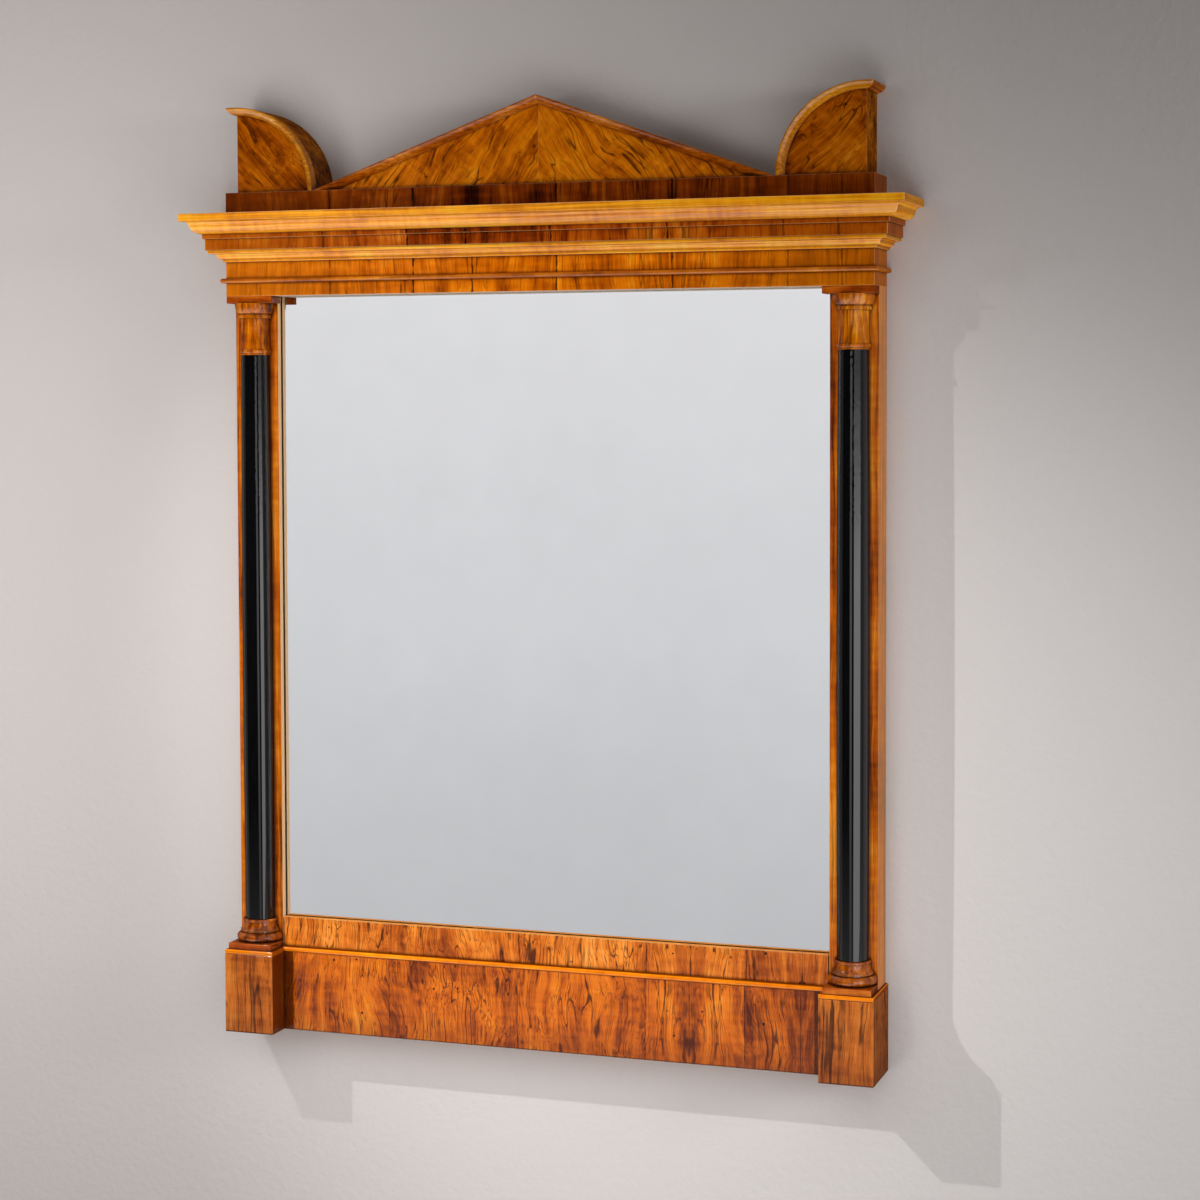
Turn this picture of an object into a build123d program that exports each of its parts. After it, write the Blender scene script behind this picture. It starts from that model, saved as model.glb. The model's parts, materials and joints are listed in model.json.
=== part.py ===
from build123d import *
import math
import os

# A wall mirror of about 1825: two half columns on plinths carry an entablature with a stepped
# cornice, and a low pediment stands on it between two quarter-round blocks.
# Lengths are in millimetres. X runs to the right and Z up. The wall is the plane Y = 0, and the
# mirror lies in front of it, towards -Y, so a depth below is a distance forward of the wall.
# The origin is on the wall, midway between the two hanging holes.

# The whole
frame_width = 793.0  # over the outer sides of the stiles and the ends of the entablature
frame_height = 889.0  # from the underside of the plinths to the underside of the entablature
hanging_rise = 46.0  # from the underside of the entablature up to the hanging holes
overrun = 6.0  # how far every cutter reaches past what it cuts
arris = 0.5  # softened edges of blocks and boards

# Flat frame
stile_width = 56.0
stile_depth = 38.6
apron_height = 136.6  # underside of the plinths to the top of the bottom rail
rail_gap = 1.6  # open joint between the bottom rail and each stile
lip_thickness = 7.5  # wood in front of the glass
lip_width = 10.0
back_rebate_width = 12.0
tenon_thickness = 10.0
tenon_length = 34.0
tenon_shoulder = 24.0  # wood left above and below the tenon of the bottom rail
stile_tenon_length = 40.0
stile_tenon_margin = 10.0  # wood left outside the tenon on the top of a stile
tenon_clearance = 0.2
peg_radius = 3.5
peg_length = 31.0
peg_shares = (0.25, 0.75)  # heights of the two pegs in a rail tenon

# Glass and what holds it
glass_thickness = 4.0
glass_clearance = 1.5
silvering_thickness = 0.3
block_length = 42.0
block_thickness = 12.0
side_block_count = 5
end_block_count = 4
block_margin = 30.0  # from the end of the glass to the first block
backboard_thickness = 8.0
backboard_clearance = 0.5
backboard_count = 3
nail_radius = 1.0
nail_length = 19.0
nail_head_radius = 2.5
nail_head_thickness = 1.0
nail_clearance = 0.1
side_nail_count = 5
nail_margin = 45.0  # from the edge of a backboard to its nails

# Hanging plates
hanging_spacing = 520.0
plate_width = 64.0
plate_height = 28.0
plate_thickness = 2.5
keyhole_radius = 5.5
keyhole_slot_radius = 2.75
keyhole_slot_rise = 8.5
pocket_depth = 15.0
pocket_margin = 3.0  # room around the keyhole in the pocket behind the plate
screw_spacing = 46.0
screw_radius = 1.9
screw_head_radius = 3.8
screw_length = 24.0
screw_clearance = 0.1

# Apron and plinths
apron_board_depth = 6.4
apron_bead_height = 5.6
apron_bead_depth = 8.7
apron_bead_drop = 35.3  # from the top of the rail down to the top of the bead
plinth_height = 95.2
plinth_depth = 77.0
plinth_overhang = 3.5  # past the sides of the stile
cap_thickness = 5.2
cap_nose_radius = 1.6
slab_thickness = 7.5
slab_setback = 2.8

# Columns
axis_depth = 43.5
base_height = 27.2
torus_height = 11.0
torus_radius = 28.2
base_groove_height = 1.5
base_groove_radius = 22.2
base_fillet_height = 2.0
base_fillet_radius = 23.8
base_ring_height = 3.2
base_ring_radius = 20.4
shaft_foot_radius = 17.6
shaft_middle_radius = 18.4
shaft_top_radius = 16.9
spigot_radius = 3.4
spigot_length = 22.0
spigot_clearance = 0.2
capital_height = 61.8
capital_foot_height = 1.6
capital_foot_radius = 17.4
capital_ring_height = 5.4
capital_ring_radius = 19.5
neck_foot_radius = 17.6
neck_middle_radius = 16.9
neck_top_radius = 17.7
capital_fillet_height = 3.4
capital_fillet_radius = 20.0
capital_groove_height = 2.4
capital_groove_radius = 18.9
echinus_height = 12.0
echinus_foot_radius = 21.0
echinus_radius = 23.9
echinus_lip = 1.6  # upright edge on top of the echinus
abacus_thickness = 8.5

# Entablature: heights from the top of the entablature down, and how far each step stands out
entablature_depth = 63.0
entablature_height = 97.0
astragal_rise = 15.6  # from the underside of the frieze to the underside of the astragal
astragal_height = 5.6
astragal_reach = 5.6
bed_foot_height = 2.8
bed_foot_reach = 3.1
bed_cyma_height = 6.8
bed_cyma_width = 7.8
bed_soffit = 5.5
bed_fillet_height = 3.9
corona_height = 13.4
corona_step = 2.1
corona_fillet_height = 5.8
corona_fillet_step = 2.6
crown_cyma_height = 14.5
crown_cyma_width = 17.4
crown_soffit = 3.4
crown_fillet_height = 8.8
cyma_lower_share = 0.655  # of a cyma's width and height taken by its lower, rounded arc

# Crest: attic board, quarter blocks and pediment
attic_height = 26.6
face_setback = 10.0  # from the front of the attic board back to the faces of the crest
leaf_thickness = 4.0
quarter_radius = 101.5
quarter_inset = 11.5  # from the end of the attic board to the flat side of a quarter block
pediment_height = 101.5
pediment_gap = 1.0  # between the foot of the pediment and each quarter block
rim_height = 9.0
rim_reach = 10.0
rim_edge_radius = 1.2
rim_flat = 2.0
rim_toe = 1.0
rim_bulge_share = 0.12  # of the chord of the rounded underside of the rim
dowel_radius = 5.0
dowel_length = 44.0
dowel_depth = 20.0  # of each dowel down in the attic board
quarter_dowel_shares = (0.28, 0.66)  # of the quarter radius, in from the flat side
pediment_dowel_shares = (-0.4, 0.0, 0.4)  # of the half width of the pediment

# Places that several pieces share
frame_half = frame_width / 2
sight_half = frame_half - stile_width
column_x = frame_half - stile_width / 2
entablature_bottom = -hanging_rise
entablature_top = entablature_bottom + entablature_height
floor_level = entablature_bottom - frame_height
apron_top = floor_level + apron_height
plinth_half_gap = sight_half - plinth_overhang
plinth_outer = frame_half + plinth_overhang
plinth_top = floor_level + plinth_height
cap_top = plinth_top + cap_thickness
slab_top = cap_top + slab_thickness
base_top = slab_top + base_height
abacus_bottom = entablature_bottom - abacus_thickness
capital_bottom = abacus_bottom - capital_height
glass_front = stile_depth - lip_thickness
glass_back = glass_front - glass_thickness
rebate_half = sight_half + lip_width
rebate_bottom = apron_top - lip_width
rebate_top = entablature_bottom + lip_width
back_half = rebate_half + back_rebate_width
back_bottom = rebate_bottom - back_rebate_width
back_top = rebate_top + back_rebate_width
bed_reach = bed_foot_reach + bed_cyma_width + bed_soffit
corona_reach = bed_reach + corona_step
corona_fillet_reach = corona_reach + corona_fillet_step
crown_bottom = entablature_top - crown_fillet_height - crown_cyma_height
corona_bottom = crown_bottom - corona_fillet_height - corona_height
bed_bottom = corona_bottom - bed_fillet_height - bed_cyma_height - bed_foot_height
attic_top = entablature_top + attic_height
face_depth = entablature_depth - face_setback
core_depth = face_depth - leaf_thickness
quarter_side = frame_half - quarter_inset
pediment_half = quarter_side - quarter_radius - pediment_gap
pediment_top = attic_top + pediment_height


def board(left, right, back, front, bottom, top):
    """A straight board between two X, two depths and two heights."""
    size = (right - left, front - back, top - bottom)
    centre = ((left + right) / 2, -(back + front) / 2, (bottom + top) / 2)
    return Pos(*centre) * Box(*size)


def softened(solid):
    """The same solid with every edge slightly rounded."""
    return fillet(solid.edges(), arris)


def outline(*lines):
    """A flat face inside lines that follow each other round."""
    curve = Curve()
    for line in lines:
        curve += line
    return make_face(curve.edges())


def plan_prism(points, bottom, top):
    """An upright prism whose plan is given as pairs of X and depth."""
    plan = make_face(Polyline(*[(x, -depth) for x, depth in points], close=True))
    return Pos(0, 0, bottom) * extrude(plan, top - bottom)


def slab_of(face, back, front):
    """A face drawn in X and Z, made solid between two depths."""
    return Pos(0, -back, 0) * extrude(Plane.XZ * face, front - back)


def wall_bore(x, z, radius, back, front):
    """A round bar square to the wall, between two depths."""
    ring = Pos(x, z) * Circle(radius)
    return slab_of(ring, back, front)


def mirrored(solid):
    """The left-hand twin of a right-hand piece."""
    return mirror(solid, about=Plane.YZ)


def save(name, shape):
    """Writes one piece, or one group of like pieces, as its own file."""
    export_step(shape, os.path.join("parts", name + ".step"))


def save_pair(name, right_piece):
    """Writes a right-hand piece and its left-hand twin."""
    save(name + "_right", right_piece)
    save(name + "_left", mirrored(right_piece))


def evenly(first, last, count):
    """Places spread evenly from the first to the last."""
    step = (last - first) / (count - 1)
    return [first + step * i for i in range(count)]


# Joints of the flat frame
tenon_back = (stile_depth - tenon_thickness) / 2
tenon_front = tenon_back + tenon_thickness
rail_tenon_bottom = floor_level + tenon_shoulder
rail_tenon_top = back_bottom - tenon_shoulder / 2
rail_tenon_end = sight_half + tenon_length
stile_tenon_inner = rebate_half + stile_tenon_margin / 2
stile_tenon_outer = frame_half - stile_tenon_margin
stile_tenon_top = entablature_bottom + stile_tenon_length
rail_peg_x = sight_half + tenon_length / 2
stile_peg_x = (stile_tenon_inner + stile_tenon_outer) / 2
stile_peg_z = entablature_bottom + stile_tenon_length / 2


def peg_places():
    """X and Z of every peg: two in each rail joint and one in each stile tenon."""
    rail_tenon_height = rail_tenon_top - rail_tenon_bottom
    places = []
    for side in (-1, 1):
        for share in peg_shares:
            places.append((side * rail_peg_x, rail_tenon_bottom + share * rail_tenon_height))
        places.append((side * stile_peg_x, stile_peg_z))
    return places


def frame_pegs():
    return Compound([wall_bore(x, z, peg_radius, 0, peg_length) for x, z in peg_places()])


def tenon(left, right, bottom, top, room=0):
    """A tenon, or with some room its mortise."""
    return board(
        left - room, right + room, tenon_back - room, tenon_front + room, bottom - room, top + room
    )


# Nails of the backboards
nail_x = (rebate_half + back_half) / 2
nail_low = (rebate_bottom + back_bottom) / 2
nail_high = (rebate_top + back_top) / 2
backboard_half = back_half - backboard_clearance
backboard_pitch = 2 * backboard_half / backboard_count


def nail_places():
    """X and Z of every nail round the backboards."""
    places = []
    for i in range(backboard_count):
        left = -backboard_half + backboard_pitch * i
        for x in (left + nail_margin, left + backboard_pitch - nail_margin):
            places += [(x, nail_low), (x, nail_high)]
    for z in evenly(nail_low + nail_margin, nail_high - nail_margin, side_nail_count):
        places += [(-nail_x, z), (nail_x, z)]
    return places


def nail(x, z, room=0):
    """A flat-headed nail driven forward from the back, or with some room its hole."""
    head = wall_bore(x, z, nail_head_radius + room, 0, nail_head_thickness + room)
    shank = wall_bore(x, z, nail_radius + room, 0, nail_length + room)
    return head + shank


def nails(room=0):
    return Compound([nail(x, z, room) for x, z in nail_places()])


# Hanging plates
plate_x = hanging_spacing / 2


def keyhole(x, radius_room, back, front):
    """The keyhole's outline through a thickness: a round hole with a slot that rises from it."""
    hole = wall_bore(x, 0, keyhole_radius + radius_room, back, front)
    slot_half = keyhole_slot_radius + radius_room
    slot_top = wall_bore(x, keyhole_slot_rise, slot_half, back, front)
    slot = board(x - slot_half, x + slot_half, back, front, 0, keyhole_slot_rise)
    return hole + slot_top + slot


def plate_bed(x):
    """The shallow bed that a hanging plate is let into."""
    return board(
        x - plate_width / 2, x + plate_width / 2, -overrun, plate_thickness,
        -plate_height / 2, plate_height / 2,
    )


def hanging_plate(x):
    plate = board(
        x - plate_width / 2, x + plate_width / 2, 0, plate_thickness, -plate_height / 2, plate_height / 2
    )
    plate -= keyhole(x, 0, -overrun, plate_thickness + overrun)
    for side in (-1, 1):
        plate -= plate_screw(x + side * screw_spacing / 2, screw_clearance)
    return plate


def plate_screw(x, room=0):
    """A countersunk screw driven forward from the back, or with some room its hole."""
    head_height = screw_head_radius - screw_radius
    cone = Plane.XZ * Cone(
        screw_head_radius + room, screw_radius + room, head_height,
        align=(Align.CENTER, Align.CENTER, Align.MIN),
    )
    shank = wall_bore(x, 0, screw_radius + room, 0, screw_length + room)
    return Pos(x, 0, 0) * cone + shank


def plate_screws(room=0):
    """All the screws of both plates."""
    places = [end * plate_x + side * screw_spacing / 2 for end in (-1, 1) for side in (-1, 1)]
    return Compound([plate_screw(x, room) for x in places])


# Flat frame
def right_stile():
    stile = board(sight_half, frame_half, 0, stile_depth, floor_level, entablature_bottom)
    stile += tenon(stile_tenon_inner, stile_tenon_outer, entablature_bottom, stile_tenon_top)
    stile -= board(
        sight_half - overrun, rebate_half, -overrun, glass_front, rebate_bottom, entablature_bottom + overrun
    )
    stile -= board(
        sight_half - overrun, back_half, -overrun, backboard_thickness, back_bottom,
        entablature_bottom + overrun,
    )
    stile -= tenon(sight_half, rail_tenon_end, rail_tenon_bottom, rail_tenon_top, tenon_clearance)
    return stile


def bottom_rail():
    rail_half = sight_half - rail_gap
    rail = board(-rail_half, rail_half, 0, stile_depth, floor_level, apron_top)
    rail -= board(
        -frame_half, frame_half, -overrun, glass_front, rebate_bottom, apron_top + overrun
    )
    rail -= board(
        -frame_half, frame_half, -overrun, backboard_thickness, back_bottom, apron_top + overrun
    )
    rail += tenon(-rail_tenon_end, rail_tenon_end, rail_tenon_bottom, rail_tenon_top)
    return rail


def head_rail():
    rail = board(-frame_half, frame_half, 0, stile_depth, entablature_bottom, entablature_top)
    rail -= board(
        -rebate_half, rebate_half, -overrun, glass_front, entablature_bottom - overrun, rebate_top
    )
    rail -= board(
        -back_half, back_half, -overrun, backboard_thickness, entablature_bottom - overrun, back_top
    )
    for side in (-1, 1):
        ends = sorted((side * stile_tenon_inner, side * stile_tenon_outer))
        rail -= tenon(*ends, entablature_bottom - overrun, stile_tenon_top, tenon_clearance)
        rail -= plate_bed(side * plate_x)
        rail -= keyhole(side * plate_x, pocket_margin, -overrun, pocket_depth)
    rail -= plate_screws(screw_clearance)
    return rail


# Glass, blocks and backboards
def glass_sheet(back, front):
    half = rebate_half - glass_clearance
    return board(-half, half, back, front, rebate_bottom + glass_clearance, rebate_top - glass_clearance)


def glass_blocks():
    """Small blocks glued in the rebate, which hold the glass against the lip."""
    front = glass_back - silvering_thickness
    back = front - block_thickness
    width = lip_width - glass_clearance
    half = block_length / 2
    blocks = []
    low = rebate_bottom + block_margin + half
    high = rebate_top - block_margin - half
    for z in evenly(low, high, side_block_count):
        block = board(rebate_half - width, rebate_half, back, front, z - half, z + half)
        blocks += [block, mirrored(block)]
    reach = rebate_half - block_margin - half
    for x in evenly(-reach, reach, end_block_count):
        blocks.append(board(x - half, x + half, back, front, rebate_bottom, rebate_bottom + width))
        blocks.append(board(x - half, x + half, back, front, rebate_top - width, rebate_top))
    return Compound(blocks)


def backboard(index):
    left = -backboard_half + backboard_pitch * index + backboard_clearance / 2
    right = left + backboard_pitch - backboard_clearance
    bottom = back_bottom + backboard_clearance
    top = back_top - backboard_clearance
    return board(left, right, 0, backboard_thickness, bottom, top) - nails(nail_clearance)


# Apron and plinths
def nosing(reach, height):
    """Profile of a strip with a half-round nose, as distance out and height."""
    nose = height / 2
    return outline(
        Polyline((reach - nose, height), (0, height), (0, 0), (reach - nose, 0)),
        ThreePointArc((reach - nose, 0), (reach, nose), (reach - nose, height)),
    )


def front_run(profile, half_length, depth, bottom):
    """A profile of distance out and height, run straight along X."""
    start = Plane(origin=(half_length, -depth, bottom), x_dir=(0, -1, 0), z_dir=(-1, 0, 0))
    return extrude(start * profile, 2 * half_length)


def apron_board():
    top = apron_top - apron_bead_drop - apron_bead_height
    return board(
        -plinth_half_gap, plinth_half_gap, stile_depth, stile_depth + apron_board_depth, floor_level, top
    )


def apron_bead():
    bottom = apron_top - apron_bead_drop - apron_bead_height
    return front_run(nosing(apron_bead_depth, apron_bead_height), plinth_half_gap, stile_depth, bottom)


def stile_room(bottom, top):
    """The room that the stile takes in what wraps round its foot."""
    return board(
        plinth_half_gap - overrun, frame_half, -overrun, stile_depth, bottom - overrun, top + overrun
    )


def right_plinth():
    """A block in front of the stile, with a thin cheek that covers the stile's outer side."""
    block = board(plinth_half_gap, plinth_outer, 0, plinth_depth, floor_level, plinth_top)
    return softened(block) - stile_room(floor_level, plinth_top)


def right_cap():
    """The round-nosed strip on top of the plinth."""
    cap = board(plinth_half_gap, plinth_outer, 0, plinth_depth, plinth_top, cap_top)
    front_edges = cap.edges().filter_by(Axis.X).group_by(Axis.Y)[0]
    side_edges = cap.edges().filter_by(Axis.Y).group_by(Axis.X)[-1]
    cap = fillet(front_edges + side_edges, cap_nose_radius)
    return cap - stile_room(plinth_top, cap_top)


def right_slab():
    slab = board(
        sight_half, frame_half, stile_depth, plinth_depth - slab_setback, cap_top, slab_top
    )
    return softened(slab) - column_bore(cap_top, slab_top)


# Columns
def turned(*lines):
    """A solid turned on a lathe from a profile of radius and height, set on the column's axis."""
    solid = revolve(Plane.XZ * outline(*lines), Axis.Z)
    return Pos(column_x, -axis_depth, 0) * solid


def flattened(solid, bottom, top):
    """What is left of a turned piece once its back is planed flat to lie on the stile."""
    reach = torus_radius + overrun
    waste = board(
        column_x - reach, column_x + reach, -overrun, stile_depth, bottom - overrun, top + overrun
    )
    return solid - waste


def column_bore(bottom, top):
    """The hole on the column's axis that takes a spigot of the shaft."""
    radius = spigot_radius + spigot_clearance
    bore = Cylinder(radius, top - bottom + 2 * overrun, align=(Align.CENTER, Align.CENTER, Align.MIN))
    return Pos(column_x, -axis_depth, bottom - overrun) * bore


def right_base():
    """Torus, groove, fillet, hollow flare and a thin ring under the shaft."""
    torus_top = slab_top + torus_height
    fillet_bottom = torus_top + base_groove_height
    fillet_top = fillet_bottom + base_fillet_height
    ring_bottom = base_top - base_ring_height
    torus_inner = torus_radius - torus_height / 2
    flare_start = base_fillet_radius - base_fillet_height / 2
    flare_end = base_ring_radius - base_ring_height / 4
    profile = (
        Polyline((0, base_top), (0, slab_top), (torus_inner, slab_top)),
        ThreePointArc(
            (torus_inner, slab_top), (torus_radius, (slab_top + torus_top) / 2), (torus_inner, torus_top)
        ),
        Polyline(
            (torus_inner, torus_top), (base_groove_radius, torus_top), (base_groove_radius, fillet_bottom),
            (base_fillet_radius, fillet_bottom), (base_fillet_radius, fillet_top), (flare_start, fillet_top),
        ),
        TangentArc((flare_end, ring_bottom), (flare_start, fillet_top), tangent=(0, -1)),
        Polyline((flare_end, ring_bottom), (base_ring_radius, ring_bottom)),
        ThreePointArc(
            (base_ring_radius, ring_bottom),
            (base_ring_radius + base_ring_height / 4, ring_bottom + base_ring_height / 2),
            (base_ring_radius, base_top),
        ),
        Line((base_ring_radius, base_top), (0, base_top)),
    )
    base = flattened(turned(*profile), slab_top, base_top)
    return base - column_bore(slab_top, base_top)


def right_shaft():
    """The shaft, a little fuller at mid height, with a spigot at each end."""
    middle = (base_top + capital_bottom) / 2
    profile = (
        Polyline((0, capital_bottom), (0, base_top), (shaft_foot_radius, base_top)),
        ThreePointArc(
            (shaft_foot_radius, base_top), (shaft_middle_radius, middle), (shaft_top_radius, capital_bottom)
        ),
        Line((shaft_top_radius, capital_bottom), (0, capital_bottom)),
    )
    shaft = flattened(turned(*profile), base_top, capital_bottom)
    length = capital_bottom - base_top + 2 * spigot_length
    spigot = Cylinder(spigot_radius, length, align=(Align.CENTER, Align.CENTER, Align.MIN))
    return shaft + Pos(column_x, -axis_depth, base_top - spigot_length) * spigot


def right_capital():
    """Ring, neck, fillet, groove and a spreading echinus under the abacus."""
    ring_bottom = capital_bottom + capital_foot_height
    ring_top = ring_bottom + capital_ring_height
    echinus_bottom = abacus_bottom - echinus_height
    groove_bottom = echinus_bottom - capital_groove_height
    neck_top = groove_bottom - capital_fillet_height
    ring_seat = capital_ring_radius - capital_ring_height / 3
    echinus_top = abacus_bottom - echinus_lip
    profile = (
        Polyline((0, abacus_bottom), (0, capital_bottom), (capital_foot_radius, capital_bottom)),
        Polyline(
            (capital_foot_radius, capital_bottom), (capital_foot_radius, ring_bottom), (ring_seat, ring_bottom)
        ),
        ThreePointArc(
            (ring_seat, ring_bottom), (capital_ring_radius, (ring_bottom + ring_top) / 2), (ring_seat, ring_top)
        ),
        Line((ring_seat, ring_top), (neck_foot_radius, ring_top)),
        ThreePointArc(
            (neck_foot_radius, ring_top), (neck_middle_radius, (ring_top + neck_top) / 2),
            (neck_top_radius, neck_top),
        ),
        Polyline(
            (neck_top_radius, neck_top), (capital_fillet_radius, neck_top),
            (capital_fillet_radius, groove_bottom), (capital_groove_radius, groove_bottom),
            (capital_groove_radius, echinus_bottom), (echinus_foot_radius, echinus_bottom),
        ),
        TangentArc(
            (echinus_radius, echinus_top), (echinus_foot_radius, echinus_bottom), tangent=(0, -1)
        ),
        Polyline((echinus_radius, echinus_top), (echinus_radius, abacus_bottom), (0, abacus_bottom)),
    )
    capital = flattened(turned(*profile), capital_bottom, abacus_bottom)
    bore_top = capital_bottom + spigot_length + spigot_clearance - overrun
    return capital - column_bore(capital_bottom, bore_top)


def right_abacus():
    """The block between the capital and the frieze: flush outside, past the stile inside."""
    return board(
        plinth_half_gap, frame_half, stile_depth, entablature_depth, abacus_bottom, entablature_bottom
    )


# Entablature
def frieze_board():
    return board(
        -frame_half, frame_half, stile_depth, entablature_depth, entablature_bottom, entablature_top
    )


def cyma(start, end):
    """Two arcs: one swells out from a level start, the next hollows back to a level end."""
    joint = tuple(a + (b - a) * cyma_lower_share for a, b in zip(start, end))
    lower = TangentArc(start, joint, tangent=(1, 0))
    upper = TangentArc(joint, end, tangent=lower % 1)
    return lower, upper


def bed_profile():
    cyma_start = (bed_foot_reach, bed_foot_height)
    cyma_end = (bed_foot_reach + bed_cyma_width, bed_foot_height + bed_cyma_height)
    top = cyma_end[1] + bed_fillet_height
    return outline(
        Polyline((0, top), (0, 0), (bed_foot_reach, 0), cyma_start),
        *cyma(cyma_start, cyma_end),
        Polyline(cyma_end, (bed_reach, cyma_end[1]), (bed_reach, top), (0, top)),
    )


def corona_profile():
    top = corona_height + corona_fillet_height
    return outline(
        Polyline(
            (0, 0), (corona_reach, 0), (corona_reach, corona_height), (corona_fillet_reach, corona_height),
            (corona_fillet_reach, top), (0, top), close=True,
        )
    )


def crown_profile():
    cyma_start = (corona_fillet_reach, 0)
    cyma_end = (corona_fillet_reach + crown_cyma_width, crown_cyma_height)
    reach = cyma_end[0] + crown_soffit
    top = crown_cyma_height + crown_fillet_height
    return outline(
        Polyline((0, top), (0, 0), cyma_start),
        *cyma(cyma_start, cyma_end),
        Polyline(cyma_end, (reach, crown_cyma_height), (reach, top), (0, top)),
    )


def mitred_front(profile, bottom):
    """A moulding across the front of the entablature, mitred at both corners."""
    size = profile.bounding_box().max
    far = size.X + overrun
    run = front_run(profile, frame_half + far, entablature_depth, bottom)
    plan = [
        (-frame_half, entablature_depth), (frame_half, entablature_depth),
        (frame_half + far, entablature_depth + far), (-frame_half - far, entablature_depth + far),
    ]
    return run & plan_prism(plan, bottom - overrun, bottom + size.Y + overrun)


def mitred_return(profile, bottom):
    """The same moulding along the right-hand end, from the wall to the mitre."""
    size = profile.bounding_box().max
    far = size.X + overrun
    start = Plane(origin=(frame_half, 0, bottom), x_dir=(1, 0, 0), z_dir=(0, -1, 0))
    run = extrude(start * profile, entablature_depth + far)
    plan = [
        (frame_half, -overrun), (frame_half + far, -overrun),
        (frame_half + far, entablature_depth + far), (frame_half, entablature_depth),
    ]
    return run & plan_prism(plan, bottom - overrun, bottom + size.Y + overrun)


def save_moulding(name, profile, bottom):
    """Writes a moulding of the entablature as its front and its two returns."""
    save(name + "_front", mitred_front(profile, bottom))
    save_pair(name + "_return", mitred_return(profile, bottom))


# Crest
def quarter_face():
    """The quarter disc of the right-hand block, in X and Z."""
    foot = (quarter_side - quarter_radius, attic_top)
    crown = (quarter_side, attic_top + quarter_radius)
    corner = (quarter_side, attic_top)
    slant = quarter_radius * math.sqrt(1 / 2)
    return outline(
        ThreePointArc(foot, (quarter_side - slant, attic_top + slant), crown),
        Polyline(crown, corner, foot),
    )


def rim_profile():
    """Profile of the rim and rake mouldings: distance out of the face, and height up to the edge."""
    chord_start = (rim_reach, -rim_flat)
    chord_end = (rim_toe, -rim_height)
    middle = tuple((a + b) / 2 for a, b in zip(chord_start, chord_end))
    bulge = (rim_height - rim_flat) * rim_bulge_share, (rim_reach - rim_toe) * rim_bulge_share
    return outline(
        Polyline((rim_toe, -rim_height), (0, -rim_height), (0, 0), (rim_reach - rim_edge_radius, 0)),
        TangentArc((rim_reach - rim_edge_radius, 0), (rim_reach, -rim_edge_radius), tangent=(1, 0)),
        Line((rim_reach, -rim_edge_radius), chord_start),
        ThreePointArc(chord_start, (middle[0] + bulge[0], middle[1] - bulge[1]), chord_end),
    )


def quarter_rim():
    """The curved moulding on the front of the right-hand block, mitred at its outer corner."""
    start = Plane(origin=(-quarter_radius, -face_depth, 0), x_dir=(0, -1, 0), z_dir=(0, 0, -1))
    arc = revolve(start * rim_profile(), Axis.Y, revolution_arc=90)
    arc = Pos(quarter_side, 0, attic_top) * arc
    far = rim_reach + overrun
    rim_top = attic_top + quarter_radius
    end = Plane(
        origin=(quarter_side + far, -face_depth, rim_top), x_dir=(0, -1, 0), z_dir=(-1, 0, 0)
    )
    straight = extrude(end * rim_profile(), far)
    plan = [
        (quarter_side, face_depth), (quarter_side + far, face_depth + far), (quarter_side, face_depth + far)
    ]
    return arc + (straight & plan_prism(plan, attic_top, rim_top + overrun))


def quarter_return():
    """The same moulding along the flat outer side of the block, from the wall to the mitre."""
    far = rim_reach + overrun
    rim_top = attic_top + quarter_radius
    start = Plane(origin=(quarter_side, 0, rim_top), x_dir=(1, 0, 0), z_dir=(0, -1, 0))
    run = extrude(start * rim_profile(), face_depth + far)
    plan = [
        (quarter_side, -overrun), (quarter_side + far, -overrun),
        (quarter_side + far, face_depth + far), (quarter_side, face_depth),
    ]
    return run & plan_prism(plan, attic_top, rim_top + overrun)


def pediment_face(left, right):
    """The part of the pediment's triangle between two X on one side of the apex or across it."""
    corners = [(left, attic_top), (right, attic_top)]
    for x in (right, 0, left):
        height = pediment_height * (1 - abs(x) / pediment_half)
        if height > 0 and (x, attic_top + height) not in corners:
            corners.append((x, attic_top + height))
    return make_face(Polyline(*corners, close=True))


def right_rake():
    """The sloping moulding on the right, cut upright at the apex and level at its foot."""
    slope = math.atan2(pediment_height, pediment_half)
    along = (math.cos(slope), -math.sin(slope))
    length = math.hypot(pediment_height, pediment_half) + overrun
    foot = (along[0] * length, pediment_top + along[1] * length)
    start = Plane(
        origin=(foot[0], -face_depth, foot[1]), x_dir=(0, -1, 0), z_dir=(-along[0], 0, -along[1])
    )
    run = extrude(start * rim_profile(), length + rim_height)
    room = board(
        0, pediment_half + overrun, 0, entablature_depth + overrun, attic_top, pediment_top + overrun
    )
    return run & room


def dowel_places():
    """X of every dowel under the quarter blocks and the pediment."""
    places = [share * pediment_half for share in pediment_dowel_shares]
    for share in quarter_dowel_shares:
        x = quarter_side - share * quarter_radius
        places += [-x, x]
    return places


def crest_dowels(room=0):
    bottom = attic_top - dowel_depth - room
    bar = Cylinder(
        dowel_radius + room, dowel_length + 2 * room, align=(Align.CENTER, Align.CENTER, Align.MIN)
    )
    return Compound([Pos(x, -core_depth / 2, bottom) * bar for x in dowel_places()])


os.makedirs("parts", exist_ok=True)

pegs = frame_pegs()
nail_holes = nails(nail_clearance)
dowels = crest_dowels()

save_pair("stile", right_stile() - pegs - nail_holes)
save("bottom_rail", bottom_rail() - pegs - nail_holes)
save("head_rail", head_rail() - pegs - nail_holes)
save("frame_pegs", pegs)

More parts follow.
